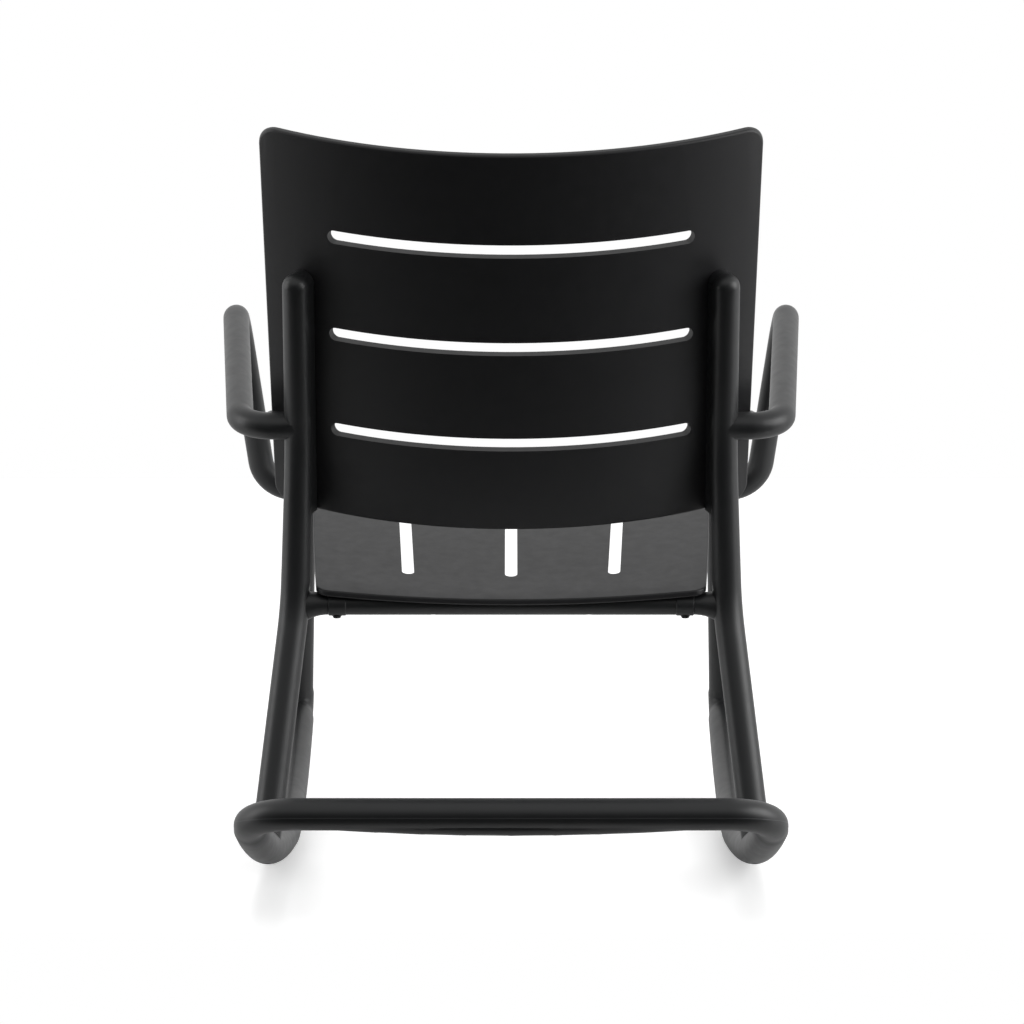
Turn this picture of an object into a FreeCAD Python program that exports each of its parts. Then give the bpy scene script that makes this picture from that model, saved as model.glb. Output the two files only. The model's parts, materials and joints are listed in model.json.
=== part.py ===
import FreeCAD, Part
import math
import os
from FreeCAD import Vector

os.makedirs("parts", exist_ok=True)

# A moulded plastic rocking chair. Millimetres, Z up, the sitter faces -Y, the
# chair is symmetric about the plane X = 0, and the rockers stand on the floor at Z = 0.

# Rocking base: two rockers and a rear crossbar moulded as one loop
rest_y = 29.7                # where the rockers touch the floor
front_arc_radius = 1150.0    # lower edge of a rocker before that point
rear_arc_radius = 656.0      # lower edge behind it
rocker_front_slope = 19.0    # slope where the front arc ends
rocker_rear_slope = 26.0     # slope where the rear arc ends
rocker_bar = 18.6            # half thickness of a rocker's round bar
rocker_half_gap = 257.0      # middle plane to a rocker's axis, front part
flare_angle = 4.10           # the rear parts of the rockers spread outward
flare_bend = 350.0
front_reach = 379.6
rear_reach = 377.1
crossbar = 17.2              # half thickness of the rear crossbar
keel_bar = 12.0              # half thickness of the keel under the crossbar
keel_half = 185.0            # half the keel's length
keel_depth = 6.0             # how far it stands below the crossbar at the middle
rear_corner_bend = 50.0
front_corner_bend = 22.0
front_joint = 25.0           # front corner to the joint with the front leg
rear_joint = 42.0            # rocker axis to the joint with the rear leg
foot_slope = 14.2            # slope of the rocker where the rear leg stands

# Side frames: post, rear leg, arm, front leg, stubs and webs in one moulding
post_tip = (231.9, 205.5, 653.8)     # centre of the post's rounded tip
post_turn = (232.8, 135.0, 474.0)    # where the post leaves the back panel's slope
knee = (238.5, 116.0, 294.9)         # where post, rear leg and rear stub meet
post_turn_bend = 260.0
knee_bend = 150.0
post_tip_bar = 14.6          # half thickness of the post at its tip
post_bar = 15.2
leg_bar = 16.2
arm_root_height = 495.7
arm_rear_x = 295.9           # where the arm turns forward
arm_front = (323.6, -262.0, 590.2)   # the arm's front corner
arm_low = (294.0, -332.0, 364.5)     # the corner below it, where the bar turns inward
arm_rear_bend = 38.0
arm_front_bend = 58.0
arm_low_bend = 40.0
arm_bar = 14.9
front_leg_half_gap = 247.3   # middle plane to the front leg's top
front_leg_top_bar = 14.0
front_leg_foot_bar = 16.5
stub_root_bar = 14.2
stub_bar = 12.3
stub_flare = 14.0            # how much deeper a stub is at its root
front_flare = 9.0            # how much wider the front leg is at its top
flare_length = 33.0          # run over which such a bar widens
web_inset = 1.6              # a web is this much thinner than its bar on each side
web_foot_drop = 6.0          # the web ends this far below the back panel
gusset_reach = 50.0

# Plugs and sockets
leg_plug = 10.0              # half thickness of the plugs at the legs' feet
leg_plug_length = 22.0
rail_plug = 8.5              # the same on the stubs
rail_plug_length = 26.0
fit_gap = 0.2                # play around a plug
face_gap = 0.3               # gap between parts that lie on each other
hole_play = 0.15             # play around a screw

# Seat rails
rail_bar = 12.5
rail_half = 190.0            # middle plane to a rail's collar
collar_bar = 13.4
collar_length = 12.0
collar_shoulder = 8.0
collar_chamfer = 1.0

# Back panel
back_recline = 21.0
back_radius = 509.0          # radius of the rear face
back_wall = 10.0
back_length = 450.0
back_foot = (140.0, 380.1)   # Y and Z of the rear face at the middle of the lower edge
back_half_top = 269.8
back_half_foot = 261.2
back_corner = 20.0
back_round = 3.0
back_slot_height = 15.4
back_slot_half = 197.4       # half the length of a slot, straight across
back_slot_pitch = 116.3
back_slot_first = 105.6
back_slot_count = 3

# Seat panel
seat_wall = 7.0
seat_half_rear = 214.2
seat_half_middle = 225.2
seat_half_front = 230.2
seat_rear_y = 136.0
seat_front_y = -366.0
seat_middle_y = -55.0
seat_profile = ((148.0, 299.7), (12.0, 333.3), (-138.0, 367.8), (-263.0, 388.7),
                (-333.0, 381.7), (-378.0, 345.4))
seat_dish_rear = 12.0        # how far the seat's sides rise above its middle
seat_dish_front = 5.0
seat_rear_corner = 14.0
seat_front_corner = 45.0
seat_round = 2.0
seat_slot_width = 13.8
seat_slot_rear_y = 72.0
seat_slot_front_y = -263.0
seat_slot_pitch = 114.7      # between slots at their rear ends
seat_slot_fan = 0.042        # how far a side slot runs outward for each unit forward
rib_wall = 3.0
rib_depth = 10.0
rib_places = (-171.0, -57.0, 57.0, 171.0)
rib_rear_y = 82.0
rib_front_y = -274.0

# Fasteners
rail_screw = 3.0             # half thickness of the screws that hold the stubs in the rails
rail_screw_head = 5.3
rail_screw_head_height = 2.7
rail_screw_bite = 6.5        # how far they pass a rail's axis
rail_screw_inset = 2.5       # their distance into the collar
tap_bar = 2.1                # tapping screws of the seat and the back
tap_head = 4.2
tap_head_height = 2.4
seat_screw_places = (-86.0, 86.0)
seat_screw_sink = 9.0
seat_screw_length = 14.0
back_screw_x = 222.0
back_screw_heights = (50.0, 242.0)
back_screw_length = 26.0
cap_radius = 7.0
cap_height = 1.8
cap_recess = 4.6             # depth of the recess for a back screw's head and its cap
bolt = 4.0                   # bolts that hold the legs in the base
bolt_head = 6.5
bolt_head_height = 6.0
bolt_recess_play = 1.0
bolt_floor = 7.0             # from the rocker's axis down to a bolt's seat
insert_bar = 6.0
insert_length = 15.0
key_share = 0.5              # half width of a key socket as a share of the head's
button_crown = 0.72          # a head's outer width as a share of its width at the bearing face
tap_crown = 0.9
bolt_crown = 0.92


def unit(v):
    return Vector(v).normalize()


def mirrored(shape):
    return shape.mirror(Vector(0, 0, 0), Vector(1, 0, 0))


def fuse(solids):
    return solids[0].multiFuse(solids[1:]).removeSplitter()


def rod(radius, start, way, length):
    return Part.makeCylinder(radius, length, start, way)


def tube(points, bends, radii):
    """Solids of a round bar through the points: straight runs joined by tangent arcs."""
    pts = [Vector(*p) for p in points]
    solids = []
    start = pts[0]
    last = len(pts) - 1
    for i in range(1, last + 1):
        before = unit(pts[i] - pts[i - 1])
        end = pts[i]
        if i < last:
            after = unit(pts[i + 1] - pts[i])
            turn = before.getAngle(after)
            reach = bends[i - 1] * math.tan(turn / 2)
            end = pts[i] - before * reach
        run = (end - start).Length
        if run > 0.001:
            if abs(radii[i] - radii[i - 1]) < 0.001:
                solids.append(rod(radii[i], start, before, run))
            else:
                solids.append(Part.makeCone(radii[i - 1], radii[i], run, start, before))
        if i < last:
            side = unit(after - before * after.dot(before))
            centre = end + side * bends[i - 1]
            disc = Part.Face(Part.Wire(Part.makeCircle(radii[i], end, before).Edges))
            solids.append(disc.revolve(centre, before.cross(side), math.degrees(turn)))
            start = pts[i] + after * reach
    return solids


def flared_bar(root, end, along, root_bar, end_bar, flare, lean):
    """Bar that widens at its root along one direction, more to one side where lean is not 0."""
    way = unit(end - root)
    wide = unit(along - way * along.dot(way))
    high = way.cross(wide)
    neck = root + way * flare_length
    neck_bar = root_bar + (end_bar - root_bar) * flare_length / (end - root).Length
    wires = []
    for share in (0, 0.25, 0.5, 0.75):
        radius = root_bar + (neck_bar - root_bar) * share
        extra = flare * (1 - share) ** 2
        centre = root + way * (flare_length * share) + wide * (extra * lean)
        half = radius + extra * (1 - lean)
        ellipse = Part.Ellipse(centre + wide * half, centre + high * radius, centre)
        wires.append(Part.Wire([ellipse.toShape()]))
    ring = Part.Circle(neck, way, neck_bar)
    ring.XAxis = wide
    wires.append(Part.Wire([ring.toShape()]))
    rest = (end - neck).Length
    return [Part.makeLoft(wires, True, False), Part.makeCone(neck_bar, end_bar, rest, neck, way)]


# Rocking base

front_axis_radius = front_arc_radius - rocker_bar
rear_axis_radius = rear_arc_radius - rocker_bar


def heading(slope, spread=0.0):
    """Direction that climbs toward the rear with a slope and spreads outward, in degrees."""
    s = math.radians(slope)
    f = math.radians(spread)
    return Vector(math.cos(s) * math.sin(f), math.cos(s) * math.cos(f), math.sin(s))


def rocker_corners():
    """Corners of a rocker's axis: front, belly, rest, rise and rear corner."""
    flare_reach = flare_bend * math.tan(math.radians(flare_angle) / 2)
    rest = Vector(rocker_half_gap, rest_y, rocker_bar)
    belly = rest - heading(0) * (flare_reach + front_axis_radius * math.tan(math.radians(rocker_front_slope) / 2))
    front_way = heading(-rocker_front_slope)
    front = belly - front_way * ((belly.y + front_reach) / front_way.y)
    half = math.radians(rocker_rear_slope) / 2
    rise = rest + heading(0, flare_angle) * (flare_reach + rear_axis_radius * math.tan(half))
    rear_way = heading(rocker_rear_slope, flare_angle)
    rear = rise + rear_way * ((rear_reach - rise.y) / rear_way.y)
    return front, belly, rest, rise, rear


def point_on_rear_arc(slope):
    """Point of a rocker's axis behind the rest point, where it has a given slope."""
    s = math.radians(slope)
    flare_reach = flare_bend * math.tan(math.radians(flare_angle) / 2)
    start = Vector(rocker_half_gap, rest_y, rocker_bar) + heading(0, flare_angle) * flare_reach
    lift = Vector(0, 0, rear_axis_radius * (1 - math.cos(s)))
    return start + heading(0, flare_angle) * (rear_axis_radius * math.sin(s)) + lift


front_corner, belly, rest, rise, rear_corner = rocker_corners()
knee_point = Vector(*knee)
leg_foot = point_on_rear_arc(foot_slope)
rear_leg_way = unit(knee_point - leg_foot)
rear_joint_point = leg_foot + rear_leg_way * rear_joint
front_leg_top = Vector(front_leg_half_gap, arm_low[1], arm_low[2])
front_leg_way = unit(front_leg_top - front_corner)
front_joint_point = front_corner + front_leg_way * front_joint
leg_joints = ((front_corner, front_leg_way, front_joint), (leg_foot, rear_leg_way, rear_joint))
rail_axes = ((knee[1], knee[2]), (arm_low[1], arm_low[2]))


def crossbar_keel():
    """Shallow bowed bar that thickens the crossbar below, most at its middle."""
    radius = (keel_half ** 2 + keel_depth ** 2) / (2 * keel_depth)
    low = rear_corner.z - crossbar - keel_depth + keel_bar
    centre = Vector(0, rear_corner.y, low + radius)
    half_turn = math.asin(keel_half / radius)
    start = centre + Vector(math.sin(half_turn), 0, -math.cos(half_turn)) * radius
    way = Vector(math.cos(half_turn), 0, math.sin(half_turn))
    disc = Part.Face(Part.Wire(Part.makeCircle(keel_bar, start, way).Edges))
    return disc.revolve(centre, Vector(0, 1, 0), 2 * math.degrees(half_turn))


def rocker_base():
    """Both rockers, the rear crossbar and the four sockets."""
    middle = Vector(0, rear_corner.y, rear_corner.z)
    front_corner_bar = (front_leg_foot_bar + rocker_bar) / 2
    half = fuse(tube(
        (front_joint_point, front_corner, belly, rest, rise, rear_corner, middle),
        (front_corner_bend, front_axis_radius, flare_bend, rear_axis_radius, rear_corner_bend),
        (front_leg_foot_bar, front_corner_bar, rocker_bar, rocker_bar, rocker_bar, crossbar, crossbar)))
    half = half.fuse(rod(leg_bar, leg_foot, rear_leg_way, rear_joint))
    for foot, way, joint in leg_joints:
        floor = joint - leg_plug_length - face_gap
        socket = rod(leg_plug + fit_gap, foot + way * floor, way, leg_plug_length + leg_plug)
        hole = rod(bolt + hole_play, foot - way * bolt_floor, way, joint)
        recess = rod(bolt_head + bolt_recess_play, foot - way * bolt_floor, way * -1, 2 * rocker_bar)
        half = half.cut(socket.fuse([hole, recess]))
    return fuse([half, mirrored(half), crossbar_keel()])


# Back panel, in its own frame: x across, y toward the rear, z up along the panel

recline = math.radians(back_recline)
back_place = FreeCAD.Placement(Vector(0, *back_foot), FreeCAD.Rotation(Vector(1, 0, 0), -back_recline))


def in_back(shape):
    placed = shape.copy()
    placed.Placement = back_place.multiply(shape.Placement)
    return placed


def back_cylinder(radius, below, above):
    axis = Vector(0, -back_radius, -below)
    return rod(radius, axis, Vector(0, 0, 1), back_length + below + above)


def back_outline():
    """Prism of the panel's front view, with rounded corners."""
    a = Vector(back_half_foot, back_wall, 0)
    b = Vector(back_half_top, back_wall, back_length)
    c = Vector(-b.x, b.y, b.z)
    d = Vector(-a.x, a.y, a.z)
    prism = Part.Face(Part.makePolygon([a, b, c, d, a])).extrude(Vector(0, -back_radius, 0))
    uprights = [e for e in prism.Edges if abs(e.tangentAt(e.FirstParameter).y) > 0.999]
    return prism.makeFillet(back_corner, uprights)


def back_way(x):
    """Outward direction of the rear face at a distance from its middle."""
    turn = math.asin(x / back_radius)
    return Vector(math.sin(turn), math.cos(turn), 0)


def back_ray(x, height, radius, start, end):
    """Cylinder square to the rear face, from start to end measured outward from that face."""
    way = back_way(x)
    root = Vector(0, -back_radius, height) + way * (back_radius + start)
    return rod(radius, root, way, end - start)


def back_slot(height):
    """Cutter of one slot: a level band of rays from the bend's axis, with round ends."""
    r = back_slot_height / 2
    end_x = back_slot_half - r
    half_angle = math.degrees(math.asin(end_x / back_radius))
    axis = Vector(0, -back_radius, height)
    inner = back_radius - 2 * back_wall
    outer = back_radius + back_wall
    corners = [axis + Vector(0, y, z) for y, z in ((inner, -r), (outer, -r), (outer, r), (inner, r), (inner, -r))]
    profile = Part.Face(Part.makePolygon(corners)).rotated(axis, Vector(0, 0, 1), -half_angle)
    band = profile.revolve(axis, Vector(0, 0, 1), 2 * half_angle)
    ends = [back_ray(x, height, r, -2 * back_wall, back_wall) for x in (-end_x, end_x)]
    return band.fuse(ends)


def back_screw_spots():
    return [(side * back_screw_x, height) for side in (-1, 1) for height in back_screw_heights]


def back_slot_heights():
    return [back_slot_first + i * back_slot_pitch for i in range(back_slot_count)]


def back_band(low, high):
    """Box around the panel between two heights."""
    corner = Vector(-back_radius, -back_radius, low)
    return Part.makeBox(2 * back_radius, back_radius + back_wall, high - low, corner)


def back_panel():
    """Bent panel with rounded edges, slots and the recesses of its screws.

    Its faces are divided at the middle of each slot, so that every one of them is a plain band.
    """
    shell = back_cylinder(back_radius, back_wall, back_wall)
    shell = shell.cut(back_cylinder(back_radius - back_wall, 2 * back_wall, 2 * back_wall))
    panel = shell.common(back_outline())
    panel = panel.makeFillet(back_round, [e for e in panel.Edges if not isinstance(e.Curve, Part.Line)])
    cutters = [back_slot(height) for height in back_slot_heights()]
    for x, height in back_screw_spots():
        cutters.append(back_ray(x, height, tap_bar + hole_play, -2 * back_wall, back_wall))
        cutters.append(back_ray(x, height, cap_radius + hole_play, -2 * back_wall, cap_recess - back_wall))
    panel = panel.cut(cutters)
    levels = [-back_wall] + back_slot_heights() + [back_length + back_wall]
    bands = [panel.common(back_band(low, high)) for low, high in zip(levels, levels[1:])]
    return in_back(bands[0].multiFuse(bands[1:]))


# Seat panel

def profile_curve():
    curve = Part.BSplineCurve()
    curve.interpolate([Vector(0, y, z) for y, z in seat_profile])
    return curve


def seat_dish(y):
    share = (seat_rear_y - y) / (seat_rear_y - seat_front_y)
    return seat_dish_rear + (seat_dish_front - seat_dish_rear) * share


def seat_layer(top, bottom, stations=9):
    """Loft between two offsets of the dished seat surface, wider than the seat."""
    curve = profile_curve()
    half = seat_half_front + 2 * seat_wall
    span = curve.LastParameter - curve.FirstParameter
    wires = []
    for i in range(stations):
        at = curve.FirstParameter + span * i / (stations - 1)
        point = curve.value(at)
        ahead = unit(curve.tangent(at)[0])
        up = Vector(0, ahead.z, -ahead.y)
        lift = seat_dish(point.y) * (half / seat_half_middle) ** 2
        right = Vector(half, 0, 0)
        over = (point + up * (top + lift) - right, point + up * top, point + up * (top + lift) + right)
        under = (point + up * (bottom + lift) - right, point + up * bottom, point + up * (bottom + lift) + right)
        wires.append(Part.Wire([
            Part.Arc(*over).toShape(),
            Part.makeLine(over[2], under[2]),
            Part.Arc(*reversed(under)).toShape(),
            Part.makeLine(under[0], over[0])]))
    return Part.makeLoft(wires, True, False)


seat_low = seat_profile[0][1] - 60   # floor and height of the upright cutters of the seat
seat_tall = 200.0


def seat_outline():
    """Tall prism of the seat's plan, with bowed sides and rounded corners."""
    ends = []
    for side in (1, -1):
        ends.append((
            Vector(side * seat_half_rear, seat_rear_y, seat_low),
            Vector(side * seat_half_middle, seat_middle_y, seat_low),
            Vector(side * seat_half_front, seat_front_y, seat_low)))
    right, left = ends
    ring = Part.Wire([
        Part.Arc(*right).toShape(),
        Part.makeLine(right[2], left[2]),
        Part.Arc(*reversed(left)).toShape(),
        Part.makeLine(left[0], right[0])])
    prism = Part.Face(ring).extrude(Vector(0, 0, seat_tall))
    for radius, y in ((seat_rear_corner, seat_rear_y), (seat_front_corner, seat_front_y)):
        uprights = [e for e in prism.Edges if e.BoundBox.ZLength > seat_tall / 2]
        corners = [e for e in uprights if abs(e.CenterOfMass.y - y) < 1]
        prism = prism.makeFillet(radius, corners)
    return prism


def seat_slot(index):
    """Upright cutter of one slot; the side slots fan outward to the front."""
    r = seat_slot_width / 2
    rear_y = seat_slot_rear_y - r
    front_y = seat_slot_front_y + r
    rear = Vector(index * seat_slot_pitch, rear_y, seat_low)
    front = Vector(rear.x + index * seat_slot_fan * (rear_y - front_y), front_y, seat_low)
    way = unit(front - rear)
    side = Vector(-way.y, way.x, 0) * r
    ring = Part.Wire([
        Part.makeLine(rear + side, front + side),
        Part.Arc(front + side, front + way * r, front - side).toShape(),
        Part.makeLine(front - side, rear - side),
        Part.Arc(rear - side, rear - way * r, rear + side).toShape()])
    return Part.Face(ring).extrude(Vector(0, 0, seat_tall))


def seat_ribs():
    """Stiffening ribs under the seat, between its rails."""
    slabs = []
    half = rib_wall / 2
    for x in rib_places:
        corner = Vector(x - half, rib_front_y - half, seat_low)
        slabs.append(Part.makeBox(rib_wall, rib_rear_y - rib_front_y + rib_wall, seat_tall, corner))
    wide = rib_places[-1] - rib_places[0] + rib_wall
    for y in (rib_front_y, rib_rear_y):
        slabs.append(Part.makeBox(wide, rib_wall, seat_tall, Vector(rib_places[0] - half, y - half, seat_low)))
    grid = slabs[0].fuse(slabs[1:])
    return grid.common(seat_layer(-seat_wall + 1, -seat_wall - rib_depth))


def seat_panel():
    """Dished panel with rounded edges, three slots, ribs and pilot holes for its screws."""
    panel = seat_layer(0, -seat_wall).common(seat_outline())
    rim = [e for e in panel.Edges if not isinstance(e.Curve, Part.Line)]
    panel = panel.makeFillet(seat_round, rim)
    panel = panel.cut([seat_slot(index) for index in (-1, 0, 1)])
    panel = panel.fuse(seat_ribs())
    pilots = []
    for y, z in rail_axes:
        for x in seat_screw_places:
            root = Vector(x, y, z - rail_bar + seat_screw_sink)
            pilots.append(rod(tap_bar + hole_play, root, Vector(0, 0, 1), seat_screw_length + hole_play))
    return panel.cut(pilots)


# Side frames

def back_stay():
    """Everything in front of the back panel's rear face, with its clearance."""
    return in_back(back_cylinder(back_radius + face_gap, back_corner * 3, back_corner * 3))


def post_up():
    return unit(Vector(*post_tip) - Vector(*post_turn))


def post_web():
    """Web from the post to the back panel, with a round top and a rounded foot."""
    up = post_up()
    ahead = back_place.Rotation.multVec(back_way(post_tip[0]) * -1)
    ahead = unit(ahead - up * ahead.dot(up))
    side = up.cross(ahead)
    tip = Vector(*post_tip)
    half = post_tip_bar - web_inset
    bow = back_radius - math.sqrt(back_radius ** 2 - post_tip[0] ** 2)
    low_z = back_foot[1] + bow * math.sin(recline) - web_foot_drop
    foot = tip - up * ((tip.z - low_z) / up.z)
    ring = Part.Wire([
        Part.makeLine(foot + side * half, tip + side * half),
        Part.Arc(tip + side * half, tip + up * half, tip - side * half).toShape(),
        Part.makeLine(tip - side * half, foot - side * half),
        Part.makeLine(foot - side * half, foot + side * half)])
    return Part.Face(ring).extrude(ahead * gusset_reach)


def arm_root():
    """Point on the post's axis where the arm begins."""
    low, high = (knee, post_turn) if arm_root_height < post_turn[2] else (post_turn, post_tip)
    share = (arm_root_height - low[2]) / (high[2] - low[2])
    return Vector(*low) + (Vector(*high) - Vector(*low)) * share


def arm_gusset():
    """Wing from the arm's root to the back panel's edge."""
    half = arm_bar - web_inset
    root = arm_root()
    ahead_y = root.y - gusset_reach
    plan = ((root.x, root.y), (arm_rear_x - gusset_reach / 2, root.y),
            (back_half_foot, ahead_y), (root.x, ahead_y), (root.x, root.y))
    ring = Part.makePolygon([Vector(x, y, root.z - half) for x, y in plan])
    return Part.Face(ring).extrude(Vector(0, 0, 2 * half))


def rail_screw_x():
    return rail_half + rail_screw_inset


def side_frame():
    """The frame on the sitter's left."""
    plug_end = rail_half + collar_length - rail_plug_length
    stub_end = rail_half + collar_length + face_gap
    root = arm_root()
    solids = [Part.makeSphere(post_tip_bar, Vector(*post_tip))]
    solids.append(fuse(tube(
        (post_tip, post_turn, knee, rear_joint_point),
        (post_turn_bend, knee_bend),
        (post_tip_bar, post_bar, leg_bar, leg_bar))))
    solids.append(fuse(tube(
        (root, (arm_rear_x, root.y, root.z), arm_front, arm_low, (stub_end, arm_low[1], arm_low[2])),
        (arm_rear_bend, arm_front_bend, arm_low_bend),
        (arm_bar, arm_bar, arm_bar, arm_bar, stub_bar))))
    rear_stub_end = Vector(stub_end, knee[1], knee[2])
    solids += flared_bar(knee_point, rear_stub_end, Vector(0, 0, -1), stub_root_bar, stub_bar, stub_flare, 0.5)
    solids += flared_bar(front_leg_top, front_joint_point, Vector(1, 0, 0),
                         front_leg_top_bar, front_leg_foot_bar, front_flare, 0.0)
    solids.append(post_web().fuse(arm_gusset()).cut(back_stay()))
    holes = []
    for foot, way, joint in leg_joints:
        end = foot + way * (joint - leg_plug_length)
        solids.append(rod(leg_plug, end, way, leg_plug_length + leg_plug))
        holes.append(rod(insert_bar, end, way, insert_length))
    for y, z in rail_axes:
        solids.append(rod(rail_plug, Vector(plug_end, y, z), Vector(1, 0, 0), rail_plug_length + rail_plug))
        low = Vector(rail_screw_x(), y, z - collar_bar)
        holes.append(rod(rail_screw + hole_play, low, Vector(0, 0, 1), collar_bar + rail_screw_bite + hole_play))
    for height in back_screw_heights:
        end = back_screw_length - back_wall + cap_recess + hole_play
        holes.append(in_back(back_ray(back_screw_x, height, tap_bar + hole_play, -back_wall, end)))
    return fuse(solids).cut(holes)


# Seat rails

def seat_rail(y, z):
    """Bar with a collar at each end, its top shaped to the seat and its ends bored for the plugs."""
    bar = rod(rail_bar, Vector(-rail_half, y, z), Vector(1, 0, 0), 2 * rail_half)
    for side in (-1, 1):
        way = Vector(side, 0, 0)
        start = Vector(side * (rail_half - collar_shoulder), y, z)
        collar = rod(collar_bar, start, way, collar_length + collar_shoulder)
        bar = bar.fuse(collar.makeChamfer(collar_chamfer, collar.Edges))
    bar = bar.cut(seat_layer(6 * seat_wall, -seat_wall - face_gap))
    cutters = []
    for side in (-1, 1):
        way = Vector(side, 0, 0)
        start = Vector(side * (rail_half + collar_length - rail_plug_length - face_gap), y, z)
        cutters.append(rod(rail_plug + fit_gap, start, way, 2 * rail_plug_length))
        low = Vector(side * rail_screw_x(), y, z - 2 * rail_bar)
        cutters.append(rod(rail_screw + hole_play, low, Vector(0, 0, 1), 4 * rail_bar))
    for x in seat_screw_places:
        seat_z = z - rail_bar + seat_screw_sink
        cutters.append(rod(tap_bar + hole_play, Vector(x, y, seat_z), Vector(0, 0, 1), 2 * rail_bar))
        cutters.append(rod(tap_head + fit_gap, Vector(x, y, seat_z), Vector(0, 0, -1), 2 * rail_bar))
    return bar.cut(cutters)


# Fasteners

def screw(shank, length, head, head_height, place, way, crown):
    """Screw whose head bears at place, with its shank along way and a key's socket in its head."""
    body = Part.makeCylinder(shank, length)
    cap = Part.makeCone(head * crown, head, head_height, Vector(0, 0, -head_height))
    key = Part.makePolygon([
        Vector(head * key_share * math.cos(math.radians(60 * i)), head * key_share * math.sin(math.radians(60 * i)),
               -head_height)
        for i in range(7)])
    socket = Part.Face(key).extrude(Vector(0, 0, head_height * key_share))
    whole = body.fuse(cap).cut(socket)
    whole.Placement = FreeCAD.Placement(place, FreeCAD.Rotation(Vector(0, 0, 1), way))
    return whole


def rail_screws():
    """Button-head screws from below, through the collars into the stubs' plugs."""
    found = []
    for y, z in rail_axes:
        for side in (-1, 1):
            place = Vector(side * rail_screw_x(), y, z - collar_bar)
            found.append(screw(rail_screw, collar_bar + rail_screw_bite, rail_screw_head, rail_screw_head_height,
                               place, Vector(0, 0, 1), button_crown))
    return Part.makeCompound(found)


def seat_screws():
    """Tapping screws from below, sunk in the rails, into the seat."""
    found = []
    for y, z in rail_axes:
        for x in seat_screw_places:
            place = Vector(x, y, z - rail_bar + seat_screw_sink)
            found.append(screw(tap_bar, seat_screw_length, tap_head, tap_head_height, place,
                               Vector(0, 0, 1), tap_crown))
    return Part.makeCompound(found)


def back_screws():
    """Tapping screws through the back panel into the posts' webs."""
    found = []
    for x, height in back_screw_spots():
        place = Vector(0, -back_radius, height) + back_way(x) * (back_radius - back_wall + cap_recess)
        found.append(screw(tap_bar, back_screw_length, tap_head, tap_head_height, place,
                           back_way(x), tap_crown))
    return in_back(Part.makeCompound(found))


def screw_caps():
    """Round caps that close the recesses over the back screws."""
    found = []
    for x, height in back_screw_spots():
        found.append(back_ray(x, height, cap_radius, -back_wall, cap_height - back_wall))
    return in_back(Part.makeCompound(found))


def leg_bolts():
    """Bolts from below, through the base into the inserts of the legs' plugs."""
    found = []
    for foot, way, joint in leg_joints:
        length = bolt_floor + joint - leg_plug_length + insert_length - face_gap
        found.append(screw(bolt, length, bolt_head, bolt_head_height,
                           foot - way * bolt_floor, way, bolt_crown))
    return Part.makeCompound(found + [mirrored(b) for b in found])


def leg_inserts():
    """Threaded sleeves in the ends of the legs' plugs."""
    found = []
    for foot, way, joint in leg_joints:
        end = foot + way * (joint - leg_plug_length)
        sleeve = rod(insert_bar - hole_play / 2, end, way, insert_length - hole_play)
        found.append(sleeve.cut(rod(bolt + hole_play, end - way, way, insert_length + 2)))
    return Part.makeCompound(found + [mirrored(s) for s in found])


left = side_frame()
pieces = {
    "rocker_base": rocker_base(),
    "side_frame_left": left,
    "side_frame_right": mirrored(left),
    "seat_rail_rear": seat_rail(*rail_axes[0]),
    "seat_rail_front": seat_rail(*rail_axes[1]),
    "seat_panel": seat_panel(),
    "back_panel": back_panel(),
    "rail_screws": rail_screws(),
    "seat_screws": seat_screws(),
    "back_screws": back_screws(),
    "back_screw_caps": screw_caps(),
    "leg_bolts": leg_bolts(),
    "leg_inserts": leg_inserts(),
}
for name, shape in pieces.items():
    print(name, "solids", len(shape.Solids), "valid", shape.isValid(), "faces", len(shape.Faces))
    shape.exportStep("parts/" + name + ".step")
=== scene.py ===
# %% [markdown]
# A moulded plastic rocking chair, seen from behind. Its pieces arrive as a fixed frame of
# closed solids at their real size, in metres, with Z up and the sitter facing -Y. This lesson
# gives them smooth shading, the finish of moulded plastic, fine mould seams, and a plain studio.

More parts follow.
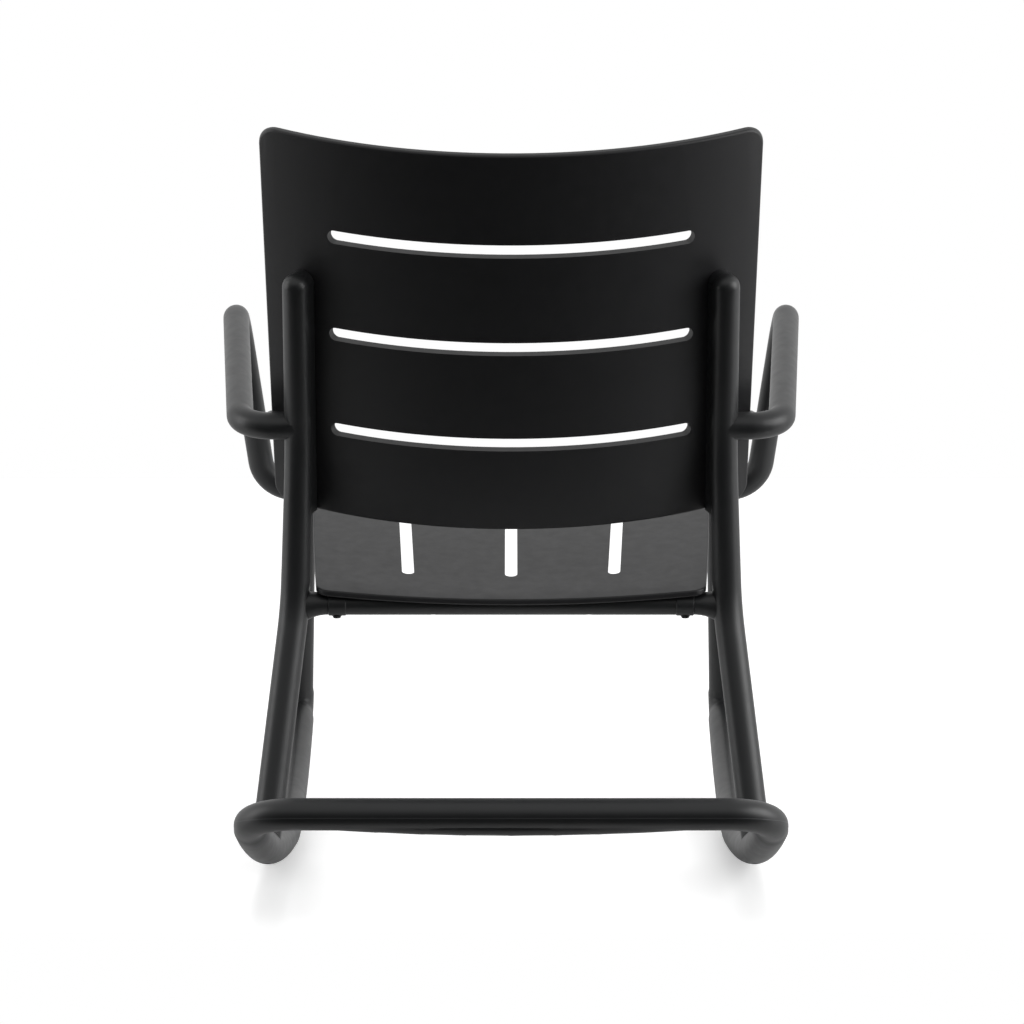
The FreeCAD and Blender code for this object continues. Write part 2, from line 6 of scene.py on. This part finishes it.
# %% Load the frame
import bpy
import json
import math
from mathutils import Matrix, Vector

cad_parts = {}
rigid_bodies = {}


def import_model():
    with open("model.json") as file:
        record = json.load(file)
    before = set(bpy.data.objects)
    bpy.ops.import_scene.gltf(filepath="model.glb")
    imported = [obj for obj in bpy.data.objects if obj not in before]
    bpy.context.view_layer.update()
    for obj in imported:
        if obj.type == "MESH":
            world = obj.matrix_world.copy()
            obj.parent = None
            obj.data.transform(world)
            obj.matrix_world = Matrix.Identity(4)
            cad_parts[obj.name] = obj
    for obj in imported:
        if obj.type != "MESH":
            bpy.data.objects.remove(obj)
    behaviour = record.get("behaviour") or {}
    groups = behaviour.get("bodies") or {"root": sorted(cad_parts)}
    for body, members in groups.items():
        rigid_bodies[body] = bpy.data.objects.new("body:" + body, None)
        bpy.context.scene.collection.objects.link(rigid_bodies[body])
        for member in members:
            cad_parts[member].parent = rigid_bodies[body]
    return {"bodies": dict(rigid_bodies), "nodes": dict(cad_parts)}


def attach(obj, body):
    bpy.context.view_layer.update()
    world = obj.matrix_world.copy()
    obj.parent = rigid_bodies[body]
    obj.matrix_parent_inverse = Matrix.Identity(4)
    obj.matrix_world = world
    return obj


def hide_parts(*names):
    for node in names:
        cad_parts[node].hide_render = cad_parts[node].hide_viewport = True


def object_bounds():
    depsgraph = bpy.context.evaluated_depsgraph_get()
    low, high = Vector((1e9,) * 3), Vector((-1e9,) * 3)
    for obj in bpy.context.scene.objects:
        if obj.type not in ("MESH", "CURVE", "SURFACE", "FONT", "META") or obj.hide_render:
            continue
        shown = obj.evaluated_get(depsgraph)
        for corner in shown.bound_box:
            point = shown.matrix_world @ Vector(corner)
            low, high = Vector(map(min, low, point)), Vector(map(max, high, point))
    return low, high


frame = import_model()
nodes = frame["nodes"]
cad_low, cad_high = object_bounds()
MM = 0.001
print("nodes", len(nodes), "box", [round(v, 4) for v in (*cad_low, *cad_high)])

# %% [markdown]
# The camera stands 5.4 m behind the chair, nearly eight degrees above the level of its middle,
# and has a long lens, so that the sides stay nearly parallel. A small shift sets the chair a
# pixel to the left of the middle.

# %% Camera
CAMERA_DISTANCE = 5.4
CAMERA_RISE = math.radians(7.83)
AIM_HEIGHT = 0.381
FOCAL_PIXELS = 4794.0
IMAGE_PIXELS = 1024
CENTRE_PIXEL = 511.1
SENSOR_MM = 36
FAR_LIMIT = 100

camera_data = bpy.data.cameras.new("camera")
camera = bpy.data.objects.new("camera", camera_data)
bpy.context.scene.collection.objects.link(camera)
bpy.context.scene.camera = camera
aim = Vector((0, 0, AIM_HEIGHT))
back = Vector((0, math.cos(CAMERA_RISE), math.sin(CAMERA_RISE)))
camera.location = aim + back * CAMERA_DISTANCE
camera.rotation_euler = (-back).to_track_quat("-Z", "Y").to_euler()
camera_data.sensor_width = SENSOR_MM
camera_data.lens = FOCAL_PIXELS / IMAGE_PIXELS * camera_data.sensor_width
camera_data.shift_x = (IMAGE_PIXELS / 2 - CENTRE_PIXEL) / IMAGE_PIXELS
camera_data.clip_end = FAR_LIMIT
bpy.context.scene.view_settings.view_transform = "Standard"
print("camera at", [round(v, 3) for v in camera.location], "lens", round(camera_data.lens, 1))

# %% [markdown]
# Every material is a small tree of nodes. One helper adds a node with its settings and links,
# and one function turns an sRGB hex colour into the linear values that Blender computes with.

# %% Helpers for colours and nodes
def linear(hex_colour):
    channels = [int(hex_colour[i:i + 2], 16) / 255 for i in (1, 3, 5)]
    return (*[c / 12.92 if c <= 0.04045 else ((c + 0.055) / 1.055) ** 2.4 for c in channels], 1)


def add(tree, kind, settings=None, **inputs):
    """Adds a node; an input is a value, or a socket to link from. An underscore stands for a space."""
    node = tree.nodes.new(kind)
    for name, value in (settings or {}).items():
        setattr(node, name, value)
    for name, value in inputs.items():
        socket = node.inputs[int(name[1:])] if name[0] == "_" else node.inputs[name.replace("_", " ")]
        if isinstance(value, bpy.types.NodeSocket):
            tree.links.new(value, socket)
        else:
            socket.default_value = value
    return node


def scalar_math(tree, operation, *values):
    inputs = {f"_{i}": value for i, value in enumerate(values)}
    return add(tree, "ShaderNodeMath", {"operation": operation}, **inputs).outputs[0]


def vector_math(tree, operation, *values):
    inputs = {f"_{i}": value for i, value in enumerate(values)}
    return add(tree, "ShaderNodeVectorMath", {"operation": operation}, **inputs)


def new_material(name):
    material = bpy.data.materials.new(name)
    material.use_nodes = True
    material.node_tree.nodes.clear()
    return material, material.node_tree


def finish_material(tree, shader):
    output = tree.nodes.new("ShaderNodeOutputMaterial")
    tree.links.new(shader.outputs[0], output.inputs["Surface"])


print("charcoal in linear light", [round(c, 4) for c in linear("#2a2a2c")[:3]])

# %% [markdown]
# The chair is polypropylene, coloured through and injection moulded in a tool with an eroded
# grain. That gives the eye a dark satin that scatters a soft highlight, never a mirror: the
# roughness is high, a fine bump stands for the grain, and slow waves in roughness and colour
# stand for the flow of the melt and for handling. The real grain is about 0.15 mm wide, too
# fine for this picture, so it is drawn near 0.6 mm.
#
# The base shows where its mould parted: a fine raised line runs around both rear bends and
# along the middle of the crossbar. It is drawn where a slightly tilted plane cuts the bars, as a
# small bump and a painted highlight: a paler grey mixed along the line stands for the light it catches.

# %% Moulded polypropylene
FLOW_MM = 90                    # size of the slow waves of colour
SCUFF_MM = 14                   # size of the patches of wear
SHEEN_SPREAD = 0.035            # how far wear moves the roughness either way
NOISE_LOW, NOISE_HIGH = 0.3, 0.7
POLYPROPYLENE_IOR = 1.49
SEAM_REAR = 394.3 * MM          # rearmost line of the crossbar, where the seam's height is given
SEAM_HEIGHT = 109.6 * MM
SEAM_TILT = 0.3                 # rise of the parting plane for each unit toward the rear
SEAM_START = 290 * MM           # the seam shows behind this Y
SEAM_FADE = 20 * MM             # run over which it comes up
SEAM_HALF = 0.55 * MM
SEAM_CORE = 0.3                 # share of the half width that has the seam's full height
SEAM_PROUD = 0.2 * MM
# painted highlight: this pale grey, mixed into the seam at a small share, stands for the light the fine
# ridge catches
SEAM_HIGHLIGHT_COLOUR = "#6c6d70"
SEAM_HIGHLIGHT_SHARE = 0.16


def parting_line(tree, place):
    """One on the mould's seam and zero away from it."""
    axes = add(tree, "ShaderNodeSeparateXYZ", Vector=place)
    offset = SEAM_HEIGHT - SEAM_TILT * SEAM_REAR
    plane = scalar_math(tree, "MULTIPLY_ADD", axes.outputs["Y"], SEAM_TILT, offset)
    distance = scalar_math(tree, "ABSOLUTE", scalar_math(tree, "SUBTRACT", axes.outputs["Z"], plane))
    line = add(tree, "ShaderNodeMapRange", {"interpolation_type": "SMOOTHSTEP"}, Value=distance,
               _1=SEAM_HALF * SEAM_CORE, _2=SEAM_HALF, _3=1.0, _4=0.0)
    behind = add(tree, "ShaderNodeMapRange", Value=axes.outputs["Y"], _1=SEAM_START,
                 _2=SEAM_START + SEAM_FADE, _3=0.0, _4=1.0)
    return scalar_math(tree, "MULTIPLY", line.outputs["Result"], behind.outputs["Result"])


def moulded_polypropylene(name, colour, colour_flow, roughness, grain_mm, grain_depth, seam=False):
    material, tree = new_material(name)
    place = add(tree, "ShaderNodeTexCoord").outputs["Object"]
    flow = add(tree, "ShaderNodeTexNoise", Vector=place, Scale=1 / (FLOW_MM * MM), Detail=3.0,
               Roughness=0.5)
    scuff = add(tree, "ShaderNodeTexNoise", Vector=place, Scale=1 / (SCUFF_MM * MM), Detail=5.0,
                Roughness=0.62)
    grain = add(tree, "ShaderNodeTexNoise", Vector=place, Scale=1 / (grain_mm * MM), Detail=2.0,
                Roughness=0.55)
    tint = add(tree, "ShaderNodeMix", {"data_type": "RGBA"}, Factor=flow.outputs["Fac"])
    tint.inputs["A"].default_value = linear(colour)
    tint.inputs["B"].default_value = linear(colour_flow)
    sheen_map = add(tree, "ShaderNodeMapRange", Value=scuff.outputs["Fac"], _1=NOISE_LOW, _2=NOISE_HIGH,
                    _3=roughness - SHEEN_SPREAD, _4=roughness + SHEEN_SPREAD)
    bump = add(tree, "ShaderNodeBump", Height=grain.outputs["Fac"], Strength=0.5,
               Distance=grain_depth * MM)
    if seam:
        line = parting_line(tree, place)
        # painted highlight along the seam: a paler grey for the light the ridge catches; the bump below is
        # the raised ridge itself
        highlight_share = scalar_math(tree, "MULTIPLY", line, SEAM_HIGHLIGHT_SHARE)
        plain = tint
        tint = add(tree, "ShaderNodeMix", {"data_type": "RGBA"}, Factor=highlight_share)
        tree.links.new(plain.outputs["Result"], tint.inputs["A"])
        tint.inputs["B"].default_value = linear(SEAM_HIGHLIGHT_COLOUR)
        bump = add(tree, "ShaderNodeBump", Height=line, Strength=0.6, Distance=SEAM_PROUD,
                   Normal=bump.outputs["Normal"])
    shader = add(tree, "ShaderNodeBsdfPrincipled", Base_Color=tint.outputs["Result"],
                 Roughness=sheen_map.outputs["Result"], Normal=bump.outputs["Normal"],
                 IOR=POLYPROPYLENE_IOR)
    finish_material(tree, shader)
    return material


PANEL_FINISH = ("#131315", "#161618", 0.5, 0.6, 0.03)
BAR_FINISH = ("#1c1d1e", "#212223", 0.42, 0.6, 0.025)
PANEL_PLASTIC = moulded_polypropylene("grained_polypropylene_panel", *PANEL_FINISH)
FRAME_PLASTIC = moulded_polypropylene("grained_polypropylene_bar", *BAR_FINISH)
BASE_PLASTIC = moulded_polypropylene("grained_polypropylene_base", *BAR_FINISH, seam=True)
print("plastics", PANEL_PLASTIC.name, FRAME_PLASTIC.name, BASE_PLASTIC.name)

# %% [markdown]
# The screws are steel. The heads below the rails are coated black, and the ones inside are
# bright. The inserts are turned brass, whose fine rings follow the lathe tool.

# %% Coated steel, bright steel and brass
WEAR_MM = 3
GLOSS_SPREAD = 0.06
TOOL_MARK_DEPTH = 0.01 * MM
def metal(name, colour, roughness, turned_mm, metallic):
    material, tree = new_material(name)
    place = add(tree, "ShaderNodeTexCoord").outputs["Object"]
    wear = add(tree, "ShaderNodeTexNoise", Vector=place, Scale=1 / (WEAR_MM * MM), Detail=4.0)
    rings = add(tree, "ShaderNodeTexWave", {"wave_type": "RINGS", "rings_direction": "Z"}, Vector=place,
                Scale=1 / (3 * turned_mm * MM), Distortion=0.4, Detail=1.0)
    gloss = add(tree, "ShaderNodeMapRange", Value=wear.outputs["Fac"], _1=NOISE_LOW, _2=NOISE_HIGH,
                _3=roughness - GLOSS_SPREAD, _4=roughness + GLOSS_SPREAD)
    bump = add(tree, "ShaderNodeBump", Height=rings.outputs["Fac"], Strength=0.3,
               Distance=TOOL_MARK_DEPTH)
    shader = add(tree, "ShaderNodeBsdfPrincipled", Base_Color=linear(colour), Metallic=metallic,
                 Roughness=gloss.outputs["Result"], Normal=bump.outputs["Normal"])
    finish_material(tree, shader)
    return material


BLACK_STEEL = metal("phosphated_black_steel", "#1b1b1d", 0.42, 0.4, 0.6)
BRIGHT_STEEL = metal("rolled_stainless_steel", "#b9bcc0", 0.3, 0.3, 1.0)
TURNED_BRASS = metal("turned_brass", "#c9a253", 0.28, 0.3, 1.0)
FINISHES = {
    "rocker_base": BASE_PLASTIC, "side_frame_left": FRAME_PLASTIC, "side_frame_right": FRAME_PLASTIC,
    "seat_rail_rear": FRAME_PLASTIC, "seat_rail_front": FRAME_PLASTIC,
    "seat_panel": PANEL_PLASTIC, "back_panel": PANEL_PLASTIC, "back_screw_caps": PANEL_PLASTIC,
    "rail_screws": BLACK_STEEL, "leg_bolts": BLACK_STEEL,
    "seat_screws": BRIGHT_STEEL, "back_screws": BRIGHT_STEEL, "leg_inserts": TURNED_BRASS,
}
for name, node in nodes.items():
    node.data.materials.clear()
    node.data.materials.append(FINISHES[name])
print("finished nodes", len(FINISHES))

# %% [markdown]
# The frame's solids arrive as loose flat triangles. Welding them and shading across every edge
# that turns by less than 32 degrees makes round bars look round, and keeps the crisp line where
# one form meets another. A small tree of geometry nodes does this live, so no mesh is changed.

# %% Smooth shading on every solid
SHARP_EDGE = math.radians(32)
WELD = 0.005 * MM


def smoothing_tree():
    tree = bpy.data.node_groups.new("smooth_moulding", "GeometryNodeTree")
    tree.is_modifier = True
    tree.interface.new_socket("Geometry", in_out="INPUT", socket_type="NodeSocketGeometry")
    weld = tree.interface.new_socket("Weld distance", in_out="INPUT", socket_type="NodeSocketFloat")
    weld.default_value = WELD
    sharp = tree.interface.new_socket("Sharp angle", in_out="INPUT", socket_type="NodeSocketFloat")
    sharp.default_value = SHARP_EDGE
    tree.interface.new_socket("Geometry", in_out="OUTPUT", socket_type="NodeSocketGeometry")
    given = tree.nodes.new("NodeGroupInput")
    merged = add(tree, "GeometryNodeMergeByDistance", Geometry=given.outputs["Geometry"],
                 Distance=given.outputs["Weld distance"])
    smooth = add(tree, "GeometryNodeSetShadeSmooth", Geometry=merged.outputs[0], Shade_Smooth=True)
    turn = add(tree, "GeometryNodeInputMeshEdgeAngle")
    crisp = add(tree, "FunctionNodeCompare", {"operation": "GREATER_THAN"},
                A=turn.outputs["Unsigned Angle"], B=given.outputs["Sharp angle"])
    edges = add(tree, "GeometryNodeSetShadeSmooth", {"domain": "EDGE"}, Geometry=smooth.outputs[0],
                Selection=crisp.outputs[0], Shade_Smooth=False)
    out = tree.nodes.new("NodeGroupOutput")
    tree.links.new(edges.outputs[0], out.inputs[0])
    return tree


SMOOTHING = smoothing_tree()
for node in nodes.values():
    modifier = node.modifiers.new("smooth moulding", "NODES")
    modifier.node_group = SMOOTHING
print("smoothed", len(nodes), "nodes at", round(math.degrees(SHARP_EDGE)), "degrees")

# %% [markdown]
# Four round caps close the recesses of the back's screws, on the sitter's side. One cap is a
# short cylinder of rings, and its face falls off toward the rim like a moulded button. It is
# set on four points of the bent face, each turned to look along the face's own direction.

# %% Crowned caps on the bent back
CAP_SIZES = {
    "Cap radius": 7.0 * MM, "Cap height": 1.8 * MM, "Rim drop": 0.5 * MM,
    "Face radius": 499.0 * MM, "Bend centre": -509.0 * MM,
    "Half gap": 222.0 * MM, "Low row": 50.0 * MM, "High row": 242.0 * MM,
    "Recline": math.radians(21.0), "Foot Y": 140.0 * MM, "Foot Z": 380.1 * MM,
}


CAP_SIDES = 64
CAP_RINGS = 6
FACE_SHARE = 0.4                # of the height: points above it belong to the cap's face
RIM_POWER = 6.0                 # how late the face falls off: a high power keeps its middle flat


def caps_tree(material):
    tree = bpy.data.node_groups.new("crowned_caps", "GeometryNodeTree")
    tree.is_modifier = True
    tree.interface.new_socket("Geometry", in_out="INPUT", socket_type="NodeSocketGeometry")
    for name in CAP_SIZES:
        tree.interface.new_socket(name, in_out="INPUT", socket_type="NodeSocketFloat")
    tree.interface.new_socket("Geometry", in_out="OUTPUT", socket_type="NodeSocketGeometry")
    size = tree.nodes.new("NodeGroupInput").outputs
    disc = add(tree, "GeometryNodeMeshCylinder", {"fill_type": "NGON"}, Vertices=CAP_SIDES,
               Side_Segments=2, Fill_Segments=CAP_RINGS, Radius=size["Cap radius"],
               Depth=size["Cap height"])
    at = add(tree, "GeometryNodeInputPosition").outputs[0]
    flat = vector_math(tree, "MULTIPLY", at, (1, 1, 0)).outputs["Vector"]
    from_axis = vector_math(tree, "LENGTH", flat).outputs["Value"]
    reach = scalar_math(tree, "DIVIDE", from_axis, size["Cap radius"])
    fall = scalar_math(tree, "MULTIPLY", scalar_math(tree, "POWER", reach, RIM_POWER), size["Rim drop"])
    sunk = scalar_math(tree, "MULTIPLY", size["Cap height"], -0.5)
    height = add(tree, "ShaderNodeSeparateXYZ", Vector=at).outputs["Z"]
    face_level = scalar_math(tree, "MULTIPLY", size["Cap height"], FACE_SHARE)
    upper = scalar_math(tree, "GREATER_THAN", height, face_level)
    drop = scalar_math(tree, "SUBTRACT", sunk, scalar_math(tree, "MULTIPLY", fall, upper))
    shaped = add(tree, "GeometryNodeSetPosition", Geometry=disc.outputs["Mesh"],
                 Offset=add(tree, "ShaderNodeCombineXYZ", Z=drop).outputs[0])
    width = scalar_math(tree, "MULTIPLY", size["Half gap"], 2.0)
    rows = scalar_math(tree, "SUBTRACT", size["High row"], size["Low row"])
    spots = add(tree, "GeometryNodeMeshGrid", Size_X=width, Size_Y=rows, Vertices_X=2, Vertices_Y=2)
    spot = add(tree, "ShaderNodeSeparateXYZ", Vector=at)
    middle = scalar_math(tree, "MULTIPLY", scalar_math(tree, "ADD", size["High row"], size["Low row"]), 0.5)
    bend = scalar_math(tree, "MULTIPLY", size["Bend centre"], -1.0)
    turn = scalar_math(tree, "ARCSINE", scalar_math(tree, "DIVIDE", spot.outputs["X"], bend))
    way = add(tree, "ShaderNodeCombineXYZ", X=scalar_math(tree, "SINE", turn),
              Y=scalar_math(tree, "COSINE", turn))
    on_face = vector_math(tree, "SCALE", way.outputs[0])
    tree.links.new(size["Face radius"], on_face.inputs["Scale"])
    root = add(tree, "ShaderNodeCombineXYZ", Y=size["Bend centre"],
               Z=scalar_math(tree, "ADD", spot.outputs["Y"], middle))
    upright = vector_math(tree, "ADD", on_face.outputs[0], root.outputs[0]).outputs[0]
    lean = scalar_math(tree, "MULTIPLY", size["Recline"], -1.0)
    leaned = add(tree, "ShaderNodeVectorRotate", {"rotation_type": "X_AXIS"}, Vector=upright, Angle=lean)
    foot = add(tree, "ShaderNodeCombineXYZ", Y=size["Foot Y"], Z=size["Foot Z"])
    spread = add(tree, "GeometryNodeSetPosition", Geometry=spots.outputs["Mesh"],
                 Position=vector_math(tree, "ADD", leaned.outputs[0], foot.outputs[0]).outputs[0])
    inward = vector_math(tree, "MULTIPLY", way.outputs[0], (-1, -1, -1)).outputs[0]
    look = add(tree, "ShaderNodeVectorRotate", {"rotation_type": "X_AXIS"}, Vector=inward, Angle=lean)
    held = add(tree, "GeometryNodeCaptureAttribute", Geometry=spots.outputs["Mesh"])
    held.capture_items.new("VECTOR", "look")
    tree.links.new(look.outputs[0], held.inputs[1])
    tree.links.new(held.outputs[0], spread.inputs["Geometry"])
    facing = add(tree, "FunctionNodeAlignRotationToVector", {"axis": "Z"}, Vector=held.outputs[1])
    placed = add(tree, "GeometryNodeInstanceOnPoints", Points=spread.outputs[0], Instance=shaped.outputs[0],
                 Rotation=facing.outputs[0])
    real = add(tree, "GeometryNodeRealizeInstances", Geometry=placed.outputs[0])
    coated = add(tree, "GeometryNodeSetMaterial", Geometry=real.outputs[0])
    coated.inputs["Material"].default_value = material
    out = tree.nodes.new("NodeGroupOutput")
    tree.links.new(coated.outputs[0], out.inputs[0])
    return tree


def mesh_from_tree(name, tree, sizes):
    """Runs a tree once with the given sizes and keeps the result as a plain mesh."""
    maker = bpy.data.objects.new("maker", bpy.data.meshes.new("maker"))
    bpy.context.scene.collection.objects.link(maker)
    modifier = maker.modifiers.new("rule", "NODES")
    modifier.node_group = tree
    for item in tree.interface.items_tree:
        if item.in_out == "INPUT" and item.name in sizes:
            modifier[item.identifier] = sizes[item.name]
    evaluated = maker.evaluated_get(bpy.context.evaluated_depsgraph_get())
    mesh = bpy.data.meshes.new_from_object(evaluated)
    bpy.data.objects.remove(maker)
    mesh.name = name
    piece = bpy.data.objects.new(name, mesh)
    bpy.context.scene.collection.objects.link(piece)
    return piece


BODY = list(frame["bodies"])[0]
caps = mesh_from_tree("crowned_caps", caps_tree(PANEL_PLASTIC), CAP_SIZES)
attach(caps, BODY)
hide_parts("back_screw_caps")
caps.data.shade_smooth()
print("caps", len(caps.data.vertices), "vertices", [round(v, 4) for v in caps.dimensions])

# %% [markdown]
# The studio is white in front of the chair and dark behind the camera, as in the photograph: a
# white sheet lies under the chair and ends just behind it. The bars then mirror white along
# their edges and darkness in their middle. A paler ceiling lights the upper side of the bars.
# To the camera everything beyond the chair is white, and mirrored or refracted rays that go
# forward see that same white; only light that is scattered gets a little less of it.

# %% Floor sheet
SHEET_REAR = cad_high.y + 0.05
SHEET_FRONT = -3.2
SHEET_HALF = 2.2
FLOOR_LIFT = 0.40       # added for the camera alone, so that the lit sheet reaches white

corners = [(-SHEET_HALF, SHEET_FRONT, 0), (SHEET_HALF, SHEET_FRONT, 0),
           (SHEET_HALF, SHEET_REAR, 0), (-SHEET_HALF, SHEET_REAR, 0)]
floor_mesh = bpy.data.meshes.new("floor")
floor_mesh.from_pydata(corners, [], [(0, 1, 2, 3)])
floor = bpy.data.objects.new("floor", floor_mesh)
bpy.context.scene.collection.objects.link(floor)
floor_material, floor_tree = new_material("painted_sheet")
floor_rays = add(floor_tree, "ShaderNodeLightPath")
floor_paint = add(floor_tree, "ShaderNodeBsdfPrincipled", Base_Color=linear("#f0f0f0"), Roughness=0.3)
floor_lift = scalar_math(floor_tree, "MULTIPLY", floor_rays.outputs["Is Camera Ray"], FLOOR_LIFT)
floor_glow = add(floor_tree, "ShaderNodeEmission", Color=(1, 1, 1, 1), Strength=floor_lift)
floor_sum = add(floor_tree, "ShaderNodeAddShader", _0=floor_paint.outputs[0], _1=floor_glow.outputs[0])
finish_material(floor_tree, floor_sum)
floor_mesh.materials.append(floor_material)
print("sheet from", SHEET_FRONT, "to", round(SHEET_REAR, 3), "m")

# %% White and dark sides of the room
BRIGHT_SIDE = 0.7
DARK_SIDE = 0.02
CEILING = 0.75
FRONT_FADE = (-0.35, 0.3)       # Y of the direction, from the bright side to the dark one
CEILING_FADE = (0.12, 0.6)      # Z of the direction, from the level to the full ceiling
world = bpy.data.worlds.new("studio")
bpy.context.scene.world = world
world.use_nodes = True
room = world.node_tree
room.nodes.clear()
rays = add(room, "ShaderNodeLightPath")
direction = add(room, "ShaderNodeSeparateXYZ", Vector=add(room, "ShaderNodeTexCoord").outputs["Generated"])
mirrored = scalar_math(room, "MAXIMUM", rays.outputs["Is Glossy Ray"], rays.outputs["Is Transmission Ray"])
front_level = add(room, "ShaderNodeMapRange", Value=mirrored, _1=0.0, _2=1.0, _3=BRIGHT_SIDE, _4=1.0)
SOFT_STEP = {"interpolation_type": "SMOOTHSTEP"}
front = add(room, "ShaderNodeMapRange", SOFT_STEP, Value=direction.outputs["Y"],
            _1=FRONT_FADE[0], _2=FRONT_FADE[1], _3=front_level.outputs["Result"], _4=DARK_SIDE)
ceiling = add(room, "ShaderNodeMapRange", SOFT_STEP, Value=direction.outputs["Z"],
              _1=CEILING_FADE[0], _2=CEILING_FADE[1], _3=0.0, _4=CEILING)
walls = scalar_math(room, "MAXIMUM", front.outputs["Result"], ceiling.outputs["Result"])
level = scalar_math(room, "MAXIMUM", rays.outputs["Is Camera Ray"], walls)
sky = add(room, "ShaderNodeBackground", Color=(1, 1, 1, 1), Strength=level)
room_out = room.nodes.new("ShaderNodeOutputWorld")
room.links.new(sky.outputs[0], room_out.inputs[0])
print("room levels", BRIGHT_SIDE, DARK_SIDE)

# %% [markdown]
# Two tall soft lights stand at the sides, the right one stronger. A wide and weaker one stands
# behind the chair on the right, and gives the bars on that side their paler face.

# %% Lights
def soft_light(name, place, target, width, height, power):
    data = bpy.data.lights.new(name, "AREA")
    data.shape = "RECTANGLE"
    data.size = width
    data.size_y = height
    data.energy = power
    light = bpy.data.objects.new(name, data)
    bpy.context.scene.collection.objects.link(light)
    light.location = place
    light.rotation_euler = (Vector(target) - Vector(place)).to_track_quat("-Z", "Y").to_euler()
    return light


MIDDLE = (0, 0, 0.4)
soft_light("right_wall", (-2.7, 0.6, 1.2), MIDDLE, 1.6, 2.0, 40)
soft_light("left_wall", (2.8, 0.3, 1.1), MIDDLE, 1.4, 2.2, 25)
soft_light("right_rear", (-2.6, 1.6, 1.5), MIDDLE, 2.0, 1.8, 24)
print("lights", len(bpy.data.lights))
